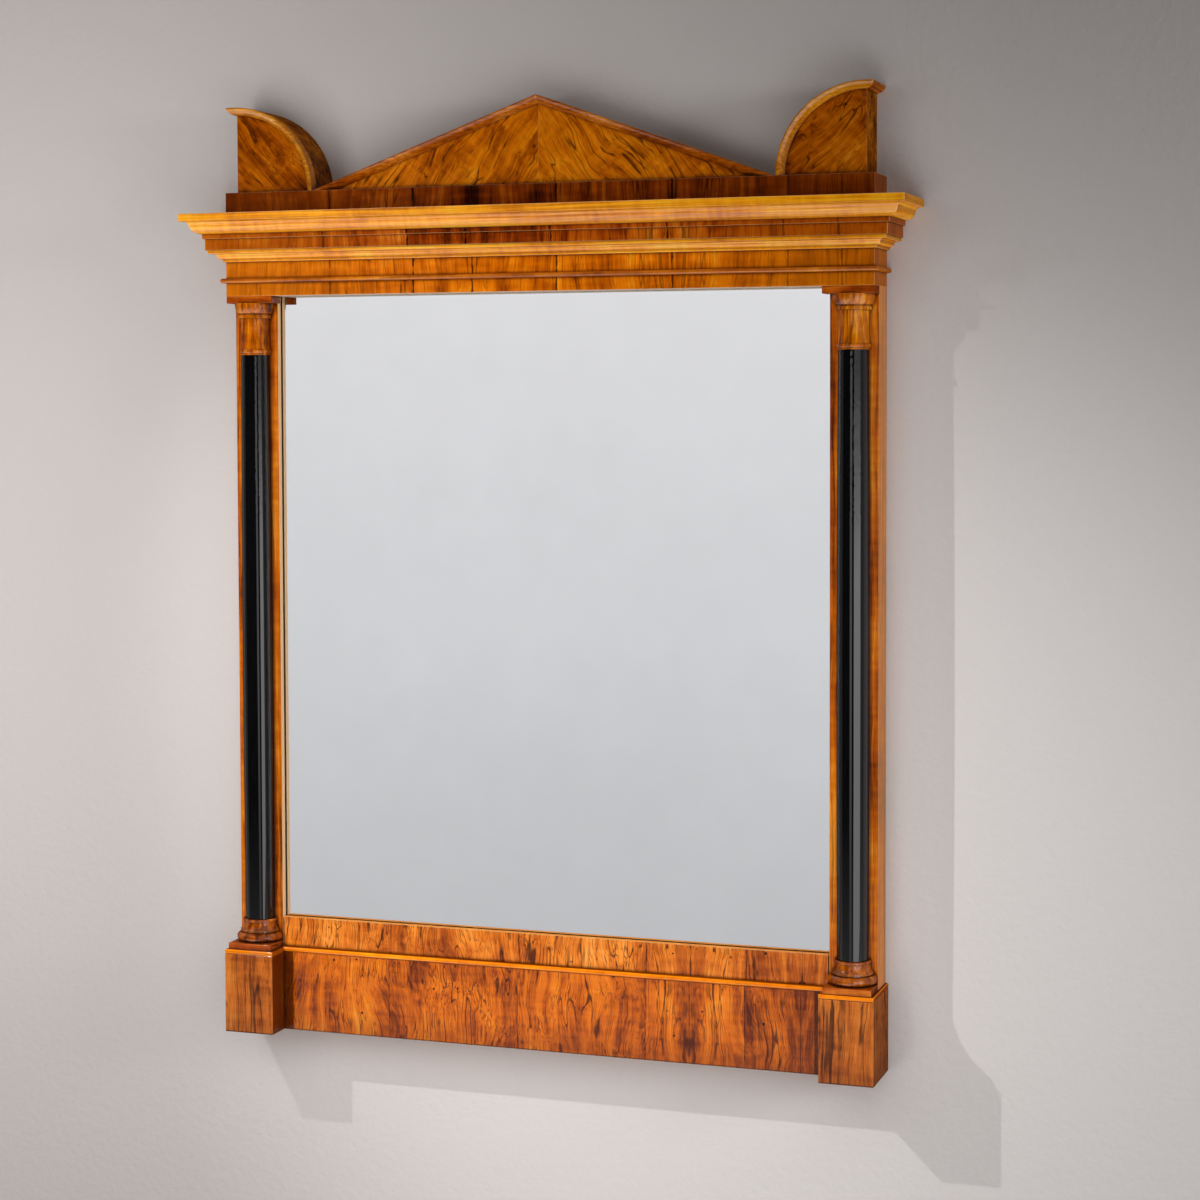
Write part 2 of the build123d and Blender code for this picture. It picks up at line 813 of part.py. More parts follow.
save("mirror_glass", glass_sheet(glass_back, glass_front))
save("mirror_silvering", glass_sheet(glass_back - silvering_thickness, glass_back))
save("glass_blocks", glass_blocks())
for number in range(backboard_count):
    save(f"backboard_{number + 1}", backboard(number))
save("backboard_nails", nails())
save("hanging_plate_right", hanging_plate(plate_x))
save("hanging_plate_left", hanging_plate(-plate_x))
save("hanging_plate_screws", plate_screws())

save("apron_board", softened(apron_board()))
save("apron_bead", apron_bead())
save_pair("plinth_block", right_plinth())
save_pair("plinth_cap", right_cap())
save_pair("column_slab", right_slab())
save_pair("column_base", right_base())
save_pair("column_shaft", right_shaft())
save_pair("column_capital", right_capital())
save_pair("abacus_block", softened(right_abacus()))

save("frieze_board", frieze_board())
save_moulding("astragal", nosing(astragal_reach, astragal_height), entablature_bottom + astragal_rise)
save_moulding("bed_moulding", bed_profile(), bed_bottom)
save_moulding("corona", corona_profile(), corona_bottom)
save_moulding("crown_moulding", crown_profile(), crown_bottom)

attic = softened(board(-frame_half, frame_half, 0, entablature_depth, entablature_top, attic_top))
save("attic_board", attic - dowels)
save_pair("quarter_block", slab_of(quarter_face(), 0, core_depth) - dowels)
save_pair("quarter_leaf", slab_of(quarter_face(), core_depth, face_depth))
save_pair("quarter_rim", quarter_rim())
save_pair("quarter_return", quarter_return())
save("pediment_block", slab_of(pediment_face(-pediment_half, pediment_half), 0, core_depth) - dowels)
save("tympanum_left", slab_of(pediment_face(-pediment_half, 0), core_depth, face_depth))
save("tympanum_right", slab_of(pediment_face(0, pediment_half), core_depth, face_depth))
save_pair("rake_moulding", right_rake())
save("crest_dowels", dowels)
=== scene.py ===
import json
import math

import bpy
from mathutils import Matrix, Vector

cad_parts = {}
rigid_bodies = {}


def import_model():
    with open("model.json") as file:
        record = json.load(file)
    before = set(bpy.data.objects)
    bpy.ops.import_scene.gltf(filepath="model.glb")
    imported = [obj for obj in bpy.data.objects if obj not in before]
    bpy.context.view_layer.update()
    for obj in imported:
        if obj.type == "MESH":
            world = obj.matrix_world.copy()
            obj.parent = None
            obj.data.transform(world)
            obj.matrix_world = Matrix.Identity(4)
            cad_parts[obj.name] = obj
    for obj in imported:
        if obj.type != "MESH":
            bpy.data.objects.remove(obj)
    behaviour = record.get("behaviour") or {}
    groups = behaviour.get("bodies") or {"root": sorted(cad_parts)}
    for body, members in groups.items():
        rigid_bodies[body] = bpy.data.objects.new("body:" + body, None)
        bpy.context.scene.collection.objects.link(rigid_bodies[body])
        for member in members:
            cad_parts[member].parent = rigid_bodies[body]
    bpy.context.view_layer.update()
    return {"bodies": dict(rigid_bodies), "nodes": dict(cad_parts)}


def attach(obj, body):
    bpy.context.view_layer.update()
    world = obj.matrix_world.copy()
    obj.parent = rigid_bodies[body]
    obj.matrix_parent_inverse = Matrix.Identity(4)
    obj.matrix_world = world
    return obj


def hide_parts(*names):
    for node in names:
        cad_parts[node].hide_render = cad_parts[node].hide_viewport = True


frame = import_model()
nodes = frame["nodes"]

# Places on the mirror, in metres
FOOT = -0.935  # lower edge of the frame
SIGHT_HALF = 0.3405  # half the width of the opening that shows the glass
SIGHT_LOW = -0.7984  # lower edge of that opening
REVEAL_SIDE = (SIGHT_HALF + 0.002, SIGHT_HALF + 0.001)  # where the faces beside the glass end
REVEAL_FOOT = (SIGHT_LOW - 0.0016, SIGHT_LOW - 0.0006)
REBATE_HALF = 0.3515  # half the width of the rebate behind the lip
REBATE_LOW = -0.8090
REBATE_HIGH = -0.0355
GLASS_FRONT = -0.0310
FILM_INSET = 0.00005  # how far the silver film lies inside the back of the glass
APRON_STAIN = 0.3235  # distance from the middle at which painted shade darkens the apron's ends

# Sizes of the markings of wood, across, through and along the grain, in metres
FIBRES = (0.0011, 0.0011, 0.04)
PORES = (0.0006, 0.0006, 0.006)
RIPPLES = (0.03, 0.03, 0.008)
CLOUDS = (0.06, 0.06, 0.10)
LINE_BREAKS = (0.02, 0.02, 0.06)
HAIR_PATCHES = (0.03, 0.03, 0.05)
RAGGED_SEAMS = (0.004, 0.004, 0.012)
SWELLS = (0.02, 0.02, 0.03)
BARE_RINGS = (0.003, 0.003, 0.2)

# Levels of their noise between which these markings come on
WHOLE_LINES = (0.38, 0.56)
DENSE_HAIR = (0.42, 0.66)
FIGURED_PATCHES = (0.35, 0.6)
SEAM_TEETH = (0.3, 0.7)
OPEN_PORES = (0.62, 0.72)
USUAL_NOISE = (0.2, 0.8)  # where most of any noise lies

# How far a face looks to the back, aside, or up or down: where it begins to count and fully counts
LOOKS_BACK = (0.8, 0.95)
LOOKS_ASIDE = (0.7, 0.95)
LOOKS_LEVEL = (0.9, 0.98)

# Colours that old wood shares and colours of painted shade, the painted corner shade with dirt first
# painted shade in the inner corners, together with the dirt gathered there
DIRT = "160904"
WORM_HOLE = "120704"
# painted shadow in the gap of the rebate beside the glass
BLACKENED = "0c0705"
# painted shade towards the lower edge
FOOT_HAZE = "5a1e04"
FOOT_RIM = "200a02"
# painted shade of the plinths on the apron's ends
END_STAIN = "3a1002"
BARE_WOOD = [(0.25, "7d5a38"), (0.5, "a37c50"), (0.8, "bb9668")]

# Places of three to six tones on the run from dark wood to light wood
TONE_PLACES = {
    3: (0.0, 0.5, 1.0),
    4: (0.0, 0.4, 0.7, 1.0),
    5: (0.0, 0.3, 0.5, 0.75, 1.0),
    6: (0.0, 0.25, 0.45, 0.6, 0.8, 1.0),
}


def linear(part):
    """A screen value from 0 to 1 as the linear value that the shaders take."""
    return part / 12.92 if part <= 0.04045 else ((part + 0.055) / 1.055) ** 2.4


def colour(code):
    """The linear colour of a screen colour such as c98a45."""
    return [linear(int(code[place:place + 2], 16) / 255) for place in (0, 2, 4)] + [1]


def tones(*codes, places=None):
    """Colours from dark to light with their places."""
    return list(zip(places or TONE_PLACES[len(codes)], codes))


class Graph:
    """A shader's node tree, with short calls for the nodes that the finishes share."""

    def __init__(self, owner):
        owner.use_nodes = True
        self.tree = owner.node_tree
        self.tree.nodes.clear()

    def node(self, kind, inputs, **settings):
        made = self.tree.nodes.new(kind)
        for name, value in settings.items():
            setattr(made, name, value)
        for socket, value in inputs.items():
            self.feed(made.inputs[socket], value)
        return made

    def feed(self, socket, value):
        if isinstance(value, bpy.types.NodeSocket):
            self.tree.links.new(value, socket)
        else:
            socket.default_value = value

    def math(self, operation, *values):
        return self.node("ShaderNodeMath", dict(enumerate(values)), operation=operation).outputs[0]

    def chain(self, operation, first, *others):
        result = first
        for other in others:
            result = self.math(operation, result, other)
        return result

    def product(self, *factors):
        return self.chain("MULTIPLY", *factors)

    def largest(self, *values):
        return self.chain("MAXIMUM", *values)

    def stirred(self, value, noise, share):
        """The value, moved up or down by a share of how far the noise is from its middle."""
        return self.math("MULTIPLY_ADD", self.math("SUBTRACT", noise, 0.5), share, value)

    def vector(self, operation, *values):
        made = self.node("ShaderNodeVectorMath", dict(enumerate(values)), operation=operation)
        return made.outputs["Value" if operation == "DOT_PRODUCT" else "Vector"]

    def place(self):
        """The point on the object, in metres, in the object's own frame."""
        return self.node("ShaderNodeTexCoord", {}).outputs["Object"]

    def split(self, vector):
        return self.node("ShaderNodeSeparateXYZ", {0: vector}).outputs

    def join(self, x, y, z):
        return self.node("ShaderNodeCombineXYZ", {0: x, 1: y, 2: z}).outputs[0]

    def turned(self, point, x=0.0, y=0.0):
        """The point, turned by degrees about the x axis or the y axis."""
        angles = (math.radians(x), math.radians(y), 0.0)
        return self.node("ShaderNodeMapping", {"Vector": point, "Rotation": angles}).outputs[0]

    def noise(self, point, sizes, detail=3.0, roughness=0.55, output="Fac"):
        """Noise whose blotches have the given sizes, in metres, along each axis."""
        scaled = self.vector("MULTIPLY", point, [1 / size for size in sizes])
        values = {"Vector": scaled, "Scale": 1.0, "Detail": detail, "Roughness": roughness}
        return self.node("ShaderNodeTexNoise", values).outputs[output]

    def span(self, value, low, high, to_low=0.0, to_high=1.0, kind="SMOOTHSTEP"):
        """Runs from to_low to to_high while the value runs from low to high, with soft ends."""
        ends = {"Value": value, "From Min": low, "From Max": high, "To Min": to_low, "To Max": to_high}
        return self.node("ShaderNodeMapRange", ends, interpolation_type=kind).outputs[0]

    def slope(self, value, low, high, to_low=0.0, to_high=1.0):
        """As span, but in a straight line."""
        return self.span(value, low, high, to_low, to_high, kind="LINEAR")

    def fade(self, mask, first, second):
        """The first number where the mask is 0, and the second where it is 1."""
        return self.slope(mask, 0.0, 1.0, first, second)

    def varied(self, noise, first, second):
        """From the first number to the second with the usual run of the noise."""
        return self.slope(noise, *USUAL_NOISE, first, second)

    def mix(self, factor, first, second):
        values = {0: factor, 6: first, 7: second}
        return self.node("ShaderNodeMix", values, data_type="RGBA").outputs[2]

    def tint(self, shade, code, mask, share=1.0):
        """The shade, taken towards a colour by the share where the mask is 1."""
        return self.mix(self.math("MULTIPLY", mask, share), shade, colour(code))

    def ramp(self, factor, stops):
        """A run of colours: stops is a list of (place, colour code)."""
        made = self.node("ShaderNodeValToRGB", {0: factor})
        elements = made.color_ramp.elements
        while len(elements) < len(stops):
            elements.new(0.5)
        for element, (position, code) in zip(elements, stops):
            element.position = position
            element.color = colour(code)
        return made.outputs[0]

    def bump(self, height, depth):
        """Relief of the given depth in metres where the height runs from 0 to 1."""
        return self.node("ShaderNodeBump", {"Height": height, "Distance": depth}).outputs[0]

    def finish(self, **inputs):
        """The surface shader and the output; names use an underscore for each space."""
        values = {name.replace("_", " "): value for name, value in inputs.items()}
        surface = self.node("ShaderNodeBsdfPrincipled", values)
        return surface, self.node("ShaderNodeOutputMaterial", {"Surface": surface.outputs[0]})


def new_material(name):
    material = bpy.data.materials.new(name)
    return material, Graph(material)


class Look:
    """How one kind of wood looks. Lengths are in metres, and shares run from 0 to about 1."""

    plan = None  # the leaves of veneer, as leaves() takes them
    band, length = 0.006, 0.14  # width and length of the colour bands
    bands = 1.0  # contrast of the colour bands
    broad, fibre, curl = 0.35, 0.10, 0.10  # contrast of clouds, fibres and ripples
    sway = (0.07, 0.012)  # size and reach of the grain's broad waves
    flutter = (0.014, 0.002)  # size and reach of its small waves
    lines = (0.008, 0.5)  # spacing and depth of the growth lines
    hair = (0.003, 0.3)  # spacing and depth of the finest lines
    streaks = (0.010, 0.70, 0.8)  # width, rarity and depth of black streaks
    seam = (0.0006, 0.6)  # half width and depth of the seams between leaves
    seam_figure = 0.0  # how much darker the figure is beside a seam
    dark = "1c0a02"  # colour of lines, streaks and seams
    calm_ends = None  # colour that the ends of a long board fade to
    worm = 0.0  # depth of worm holes
    foot = None  # height of the lower edge, towards which painted shade darkens the wood, with a darker rim at the edge
    stained_end = None  # distance from the middle at which painted shade darkens the ends
    worn, worn_depth = "e0a058", 0.3  # colour and depth of the rubbed edges, which also carry a painted highlight
    side_tint, side_shade, level_shade = "2a0e02", 0.0, 0.0  # colour of the painted light and shade on side and level faces, and how far each takes it
    inner_tint = None  # colour of the painted light and shade on side faces that look to the middle
    reveal, reveal_tint = 0.0, "ffd09a"  # depth and colour of the painted light on the faces beside the glass
    coat, polish = 1.0, 0.07  # cover and roughness of the polish
    side_polish = 1.0  # share of the polish on side faces and level faces

    def __init__(self, **changes):
        for name, value in changes.items():
            assert hasattr(Look, name), name
            setattr(self, name, value)


def wander(graph, point, size, reach):
    """Bends the grain: moves points across it by about a quarter of the reach, in waves of the size."""
    stretch = 1.4
    drift = graph.noise(point, (size, size, size * stretch), detail=1.0, output="Color")
    centred = graph.vector("SUBTRACT", drift, (0.5, 0.5, 0.5))
    return graph.vector("ADD", point, graph.vector("MULTIPLY", centred, (reach, reach, 0.0)))


def leaves(graph, point, plan):
    """Veneer leaves side by side along x.
    plan lists (start, fold) for each pair of leaves: the pair starts at a seam, and its second leaf
    mirrors its first about the fold. Returns the moved point, the distance to the nearest seam and the
    pair's own number."""
    own_shift = 0.313
    x, y, z = graph.split(point)
    fold = plan[0][1]
    number = 0.0
    gap = graph.math("ABSOLUTE", graph.math("SUBTRACT", x, fold))
    for (_, before), (start, centre) in zip(plan, plan[1:]):
        passed = graph.math("GREATER_THAN", x, start)
        fold = graph.math("MULTIPLY_ADD", passed, centre - before, fold)
        number = graph.math("ADD", passed, number)
        for seam in (start, centre):
            gap = graph.math("MINIMUM", gap, graph.math("ABSOLUTE", graph.math("SUBTRACT", x, seam)))
    shift = graph.math("MULTIPLY", number, own_shift)
    folded = graph.math("ABSOLUTE", graph.math("SUBTRACT", x, fold))
    return graph.join(graph.math("ADD", folded, shift), graph.math("ADD", y, shift), z), gap, number


class Grain:
    """The lie of the grain on a piece, with its leaves, its colour bands and its fibres."""

    def __init__(self, graph, look, space):
        self.place = graph.place()
        self.x, _, self.z = graph.split(self.place)
        self.apart = graph.math("ABSOLUTE", self.x)
        self.point = space(graph, self.place)
        if look.plan:
            self.point, self.gap, self.number = leaves(graph, self.point, look.plan)
        self.bent = wander(graph, wander(graph, self.point, *look.sway), *look.flutter)
        self.strips = graph.noise(self.bent, (look.band, look.band, look.length), roughness=0.6)
        self.fine = graph.noise(self.bent, FIBRES, detail=2.0)


class Faces:
    """Masks that are 1 on the back, the side faces, the level faces and either of the last two."""

    def __init__(self, graph):
        normal = graph.node("ShaderNodeTexCoord", {}).outputs["Normal"]
        self.across, depth, upward = graph.split(normal)
        self.back = graph.span(depth, *LOOKS_BACK)
        self.side = graph.span(graph.math("ABSOLUTE", self.across), *LOOKS_ASIDE)
        self.level = graph.span(graph.math("ABSOLUTE", upward), *LOOKS_LEVEL)
        self.edge = graph.largest(self.side, self.level)


def tone_of(graph, look, grain):
    """How light the wood is, around 0.5, from its bands, clouds, fibres, ripples and leaves."""
    leaf_share = 0.06
    seam_reach = 0.030
    wide = graph.noise(grain.point, CLOUDS, detail=2.0)
    ripple = graph.noise(grain.bent, RIPPLES, detail=1.0)
    tone = graph.stirred(0.5, grain.strips, look.bands)
    for part, contrast in ((wide, look.broad), (grain.fine, look.fibre), (ripple, look.curl)):
        tone = graph.stirred(tone, part, contrast * 2)
    if look.plan:
        own = graph.node("ShaderNodeTexWhiteNoise", {"W": grain.number}, noise_dimensions="1D")
        tone = graph.stirred(tone, own.outputs["Value"], leaf_share)
        beside_seam = graph.span(grain.gap, seam_reach, 0.0)
        beside_seam = graph.product(beside_seam, graph.span(wide, *FIGURED_PATCHES))
        tone = graph.math("MULTIPLY_ADD", beside_seam, -look.seam_figure, tone)
    return tone


def contours(graph, point, spacing, length, detail, edges):
    """1 on thin lines about the spacing apart, and 0 between them. edges are a line's rim and core."""
    folds = 4.0
    half_fold = 0.5
    field = graph.noise(point, (spacing * 2, spacing * 2, length), detail=detail)
    wave = graph.math("PINGPONG", graph.math("MULTIPLY", field, folds), half_fold)
    return graph.span(wave, *edges)


def darkness_of(graph, look, grain):
    """How far the growth lines, the finest lines, the black streaks and the seams darken the wood."""
    ring_stretch = 2
    ring_edges = (0.12, 0.01)
    spacing, depth = look.lines
    rings = contours(graph, grain.bent, spacing, look.length * ring_stretch, detail=1.0, edges=ring_edges)
    whole = graph.span(graph.noise(grain.bent, LINE_BREAKS), *WHOLE_LINES)
    rings = graph.product(rings, whole, depth)

    strand_edges = (0.16, 0.02)
    sparse_share = 0.35
    spacing, depth = look.hair
    strands = contours(graph, grain.bent, spacing, look.length, detail=2.0, edges=strand_edges)
    dense = graph.noise(grain.point, HAIR_PATCHES, detail=2.0)
    strands = graph.product(strands, graph.span(dense, *DENSE_HAIR, sparse_share, 1.0), depth)

    streak_stretch = 2.5
    before, beyond = 0.07, 0.05  # the soft edge of a streak
    size, rarity, depth = look.streaks
    black = graph.noise(grain.bent, (size, size, look.length * streak_stretch), roughness=0.6)
    marks = graph.product(graph.span(black, rarity - before, rarity + beyond), depth)
    darkness = graph.largest(rings, strands, marks)

    if look.plan:
        tooth_length, soft_edge = 1.6, 0.6  # in half widths of the seam
        half_width, depth = look.seam
        teeth = graph.span(graph.noise(grain.place, RAGGED_SEAMS), *SEAM_TEETH)
        inner = graph.math("SUBTRACT", grain.gap, graph.product(teeth, half_width * tooth_length))
        seams = graph.product(graph.span(inner, half_width * soft_edge, 0.0), depth)
        darkness = graph.largest(darkness, seams)
    return darkness


def figure(graph, look, grain, stops):
    """The colour of the clean wood. Towards the ends of a calm board its figure is fainter."""
    tone_ends = (0.27, 0.73)
    calm_places = (0.16, 0.34)
    calm_share = 0.45
    calm_darkness = 0.6
    shade = graph.ramp(graph.slope(tone_of(graph, look, grain), *tone_ends), stops)
    darkness = darkness_of(graph, look, grain)
    if look.calm_ends:
        calm = graph.span(grain.apart, *calm_places)
        darkness = graph.product(darkness, graph.span(calm, 0.0, 1.0, 1.0, calm_darkness))
        shade = graph.tint(shade, look.calm_ends, calm, calm_share)
    return graph.tint(shade, look.dark, darkness)


def worm_holes(graph, grain):
    """1 in the round holes, one in about every second cell of an uneven grid, and 0 elsewhere."""
    cells_per_metre = 30.0
    largest_hole = 0.052  # in cells
    filled = 0.5
    soft_edge = 0.008
    flat = graph.join(grain.x, grain.z, 0.0)
    cell = graph.node("ShaderNodeTexVoronoi", {"Vector": flat, "Scale": cells_per_metre},
                      voronoi_dimensions="2D")
    chance, rare, _ = graph.split(cell.outputs["Color"])
    size = graph.product(chance, largest_hole, graph.math("GREATER_THAN", rare, filled))
    return graph.span(graph.math("SUBTRACT", cell.outputs["Distance"], size), soft_edge, -soft_edge)


def age(graph, look, grain, shade):
    """Worm holes, painted shade towards the lower edge with a darker rim along the edge itself, and
    painted shade on the ends, where the look has them.
    """
    haze_height, haze_depth = 0.035, 0.35
    rim_height, full_height, rim_depth = 0.0022, 0.0010, 0.8
    soft_edge, stain_depth = 0.002, 0.85
    if look.worm:
        shade = graph.tint(shade, WORM_HOLE, worm_holes(graph, grain), look.worm)
    if look.foot is not None:
        haze = graph.span(grain.z, look.foot + haze_height, look.foot)
        rim = graph.span(grain.z, look.foot + rim_height, look.foot + full_height)
        # painted shade towards the lower edge, and a darker rim along the edge itself
        shade = graph.tint(shade, FOOT_HAZE, haze, haze_depth)
        shade = graph.tint(shade, FOOT_RIM, rim, rim_depth)
    if look.stained_end is not None:
        # painted shade on the ends beside the plinths
        stain = graph.span(grain.apart, look.stained_end, look.stained_end + soft_edge)
        shade = graph.tint(shade, END_STAIN, stain, stain_depth)
    return shade


def crevice(graph):
    """1 in the inner corners, where painted shade falls along with the old polish and dust that have
    gathered, and 0 in the open.
    """
    reach = 0.005
    open_level, hollow_level = 0.90, 0.45
    node = graph.node("ShaderNodeAmbientOcclusion", {"Distance": reach}, samples=6)
    return graph.span(node.outputs["AO"], open_level, hollow_level)


def worn_edge(graph):
    """1 along the sharp outer edges, where the colour has rubbed off and a painted highlight lies."""
    radius = 0.0012
    slight, sharp = 0.06, 0.4  # squared distance of the true normal from a rounded one
    normal = graph.node("ShaderNodeNewGeometry", {}).outputs["Normal"]
    rounded = graph.node("ShaderNodeBevel", {"Radius": radius}, samples=4).outputs[0]
    apart = graph.vector("SUBTRACT", normal, rounded)
    return graph.span(graph.vector("DOT_PRODUCT", apart, apart), slight, sharp)


def wear(graph, look, shade):
    """Pale rubbed edges that also carry a painted highlight, and painted shade with dirt in the inner
    corners.
    """
    dirt_depth = 0.75
    hollow = crevice(graph)
    rubbed = graph.product(worn_edge(graph), graph.math("SUBTRACT", 1.0, hollow))
    # the rubbed edges are tinted pale, both as wear and as a painted highlight
    shade = graph.tint(shade, look.worn, rubbed, look.worn_depth)
    # painted shade in the inner corners, together with dirt
    return graph.tint(shade, DIRT, hollow, dirt_depth)


def rebate(graph, place):
    """1 on the faces of the rebate behind the front of the glass, which are painted black as the shadow
    in the gap beside the glass.
    """
    blur = 0.0002
    x, y, z = graph.split(place)
    return graph.product(
        graph.slope(graph.math("ABSOLUTE", x), REBATE_HALF, REBATE_HALF - blur),
        graph.slope(y, GLASS_FRONT - blur, GLASS_FRONT),
        graph.slope(z, REBATE_LOW, REBATE_LOW + blur),
        graph.slope(z, REBATE_HIGH, REBATE_HIGH - blur),
    )


def tint_faces(graph, look, grain, faces, shade):
    """Bare wood on the back, and painted light and shade on side, level and glass-side faces and the
    rebate.
    """
    inner_depth = 0.85
    bare = graph.ramp(graph.noise(grain.bent, BARE_RINGS), BARE_WOOD)
    shade = graph.mix(faces.back, shade, bare)
    # side and level faces take painted light and shade, as they are lit otherwise than the front
    sides = graph.tint(shade, look.side_tint, faces.side, look.side_shade)
    if look.inner_tint:
        outward = graph.math("GREATER_THAN", graph.math("MULTIPLY", faces.across, grain.x), 0.0)
        inner = graph.tint(shade, look.inner_tint, faces.side, inner_depth)
        sides = graph.mix(outward, inner, sides)
    shade = graph.tint(sides, look.side_tint, faces.level, look.level_shade)
    # painted light on the faces beside the glass, as though thrown by the mirror and the lamps
    if look.reveal:
        between = graph.span(grain.apart, *REVEAL_SIDE)
        above = graph.span(grain.z, *REVEAL_FOOT)
        beside_glass = graph.product(faces.edge, between, above)
        shade = graph.tint(shade, look.reveal_tint, beside_glass, look.reveal)
        # painted shadow: the rebate behind the front of the glass is black
        shade = graph.tint(shade, BLACKENED, rebate(graph, grain.place))
    return shade


def steady_gloss(graph, cover):
    """Old polish mirrors less at a glancing angle than new glass does."""
    glancing = (0.45, 0.80)
    glancing_share = 0.12
    facing = graph.node("ShaderNodeLayerWeight", {"Blend": 0.5}).outputs["Facing"]
    return graph.product(cover, graph.span(facing, *glancing, 1.0, glancing_share))


def wood(name, stops, space, **changes):
    """Polished veneer or solid wood. stops are its colours from dark to light, space turns a point so
    that the grain runs along the third axis, and changes are what differs from Look."""
    fibre_share = 0.5
    relief_depth = 0.00006
    swell_depth = 0.0002
    look = Look(**changes)
    material, graph = new_material(name)
    grain = Grain(graph, look, space)
    faces = Faces(graph)
    shade = figure(graph, look, grain, stops)
    shade = age(graph, look, grain, shade)
    shade = wear(graph, look, shade)
    shade = tint_faces(graph, look, grain, faces, shade)
    cover = graph.product(
        graph.fade(faces.back, look.coat, 0.0),
        graph.fade(faces.edge, 1.0, look.side_polish),
    )
    pore = graph.span(graph.noise(grain.bent, PORES, detail=1.0), *OPEN_PORES)
    relief = graph.math("SUBTRACT", graph.product(grain.fine, fibre_share), pore)
    swell = graph.noise(grain.point, SWELLS, detail=1.0)
    graph.finish(
        Base_Color=shade,
        Roughness=graph.varied(grain.strips, 0.5, 0.38),
        Normal=graph.bump(relief, relief_depth),
        Coat_Weight=steady_gloss(graph, cover),
        Coat_Roughness=look.polish,
        Coat_IOR=1.5,
        Coat_Normal=graph.bump(swell, swell_depth),
        IOR=1.45,
        Specular_IOR_Level=0.0,
    )
    return material


def upright(graph, point):
    return point


def level_x(graph, point):
    return graph.turned(point, y=90.0)


def level_y(graph, point):
    return graph.turned(point, x=90.0)


def slanting(angle):
    """Grain in the plane of the front that leans by the angle from upright."""
    return lambda graph, point: graph.turned(point, y=angle)


def dress(material, *names):
    for name in names:
        nodes[name].data.materials[0] = material


def pair(name):
    return name + "_left", name + "_right"


def dress_boards():
    """The boards of the entablature and the attic, with leaves of veneer whose grain is upright."""
    leaf_plan = [(-0.60, -0.26), (-0.153, -0.079), (0.025, 0.164), (0.298, 0.360)]
    straight = dict(plan=leaf_plan, seam=(0.0010, 0.9), band=0.009, length=0.2, sway=(0.10, 0.022),
                    flutter=(0.02, 0.002), bands=0.55, broad=0.40, hair=(0.0028, 0.4), worn="ffd088",
                    worn_depth=0.6, side_shade=0.5, side_tint="8a5030", side_polish=0.5)
    frieze = wood("frieze_veneer", tones("6e2600", "ae5000", "d06800", "e88008", "fa9e14"), upright,
                  lines=(0.006, 0.6), dark="3a1400", streaks=(0.008, 0.72, 0.8), calm_ends="be6a08",
                  reveal=0.95, reveal_tint="ffead0", **straight)
    dress(frieze, "frieze_board", "head_rail")
    attic_places = (0.0, 0.3, 0.55, 0.8, 1.0)
    attic = tones("2a0a00", "5c2000", "803200", "9e4802", "b86010", places=attic_places)
    attic = wood("attic_veneer", attic, upright, lines=(0.006, 0.7), dark="0c0401",
                 streaks=(0.009, 0.70, 0.85), calm_ends="703002", **straight)
    dress(attic, "attic_board")
    corona = wood("corona_veneer", tones("401200", "843000", "a64804", "bc5c08", "d88020"), upright,
                  lines=(0.006, 0.6), dark="1c0800", streaks=(0.009, 0.76, 0.7), calm_ends="a65204",
                  **straight)
    dress(corona, "corona_front", *pair("corona_return"))


def dress_mouldings():
    """The mouldings of solid wood, whose grain runs along them."""
    quiet = dict(band=0.003, length=0.3, sway=(0.15, 0.006), flutter=(0.03, 0.001), lines=(0.006, 0.2),
                 streaks=(0.004, 0.74, 0.4), hair=(0.002, 0.2), bands=0.7, dark="6a3204", worn="ffe0a0",
                 worn_depth=0.7, polish=0.16, coat=0.8, side_polish=0.5, side_shade=0.55,
                 side_tint="8a5634")
    golden_places = (0.0, 0.35, 0.5, 0.75, 1.0)
    golden = tones("bc6004", "e88c06", "fa9e08", "ffb218", "ffca40", places=golden_places)
    front = wood("moulding_front", golden, level_x, **quiet)
    returns = wood("moulding_return", golden, level_y, **quiet)
    for run in ("crown_moulding_", "bed_moulding_"):
        dress(front, run + "front")
        dress(returns, *pair(run + "return"))

    quiet.update(polish=0.07, coat=0.6, dark="3a1404", worn="f8b860", worn_depth=0.4,
                 lines=(0.006, 0.4), side_polish=0.3)
    reddish = tones("7c3402", "b05a04", "c87008", "e08c20")
    dress(wood("astragal_wood", reddish, level_x, **quiet), "astragal_front")
    small_return = wood("rim_wood_return", reddish, level_y, **quiet)
    amber = tones("8a4204", "be7008", "d88a10", "eca42c")
    dress(wood("rim_wood", amber, level_x, **quiet), *pair("quarter_rim"))
    dress(small_return, *pair("astragal_return"), *pair("quarter_return"))

    quiet.update(coat=0.4, worn="f0b070", worn_depth=0.7, broad=0.5)
    russet = tones("702e04", "9e4a06", "ba620a", "d68228")
    dress(wood("rake_wood", russet, level_x, **quiet), *pair("rake_moulding"))


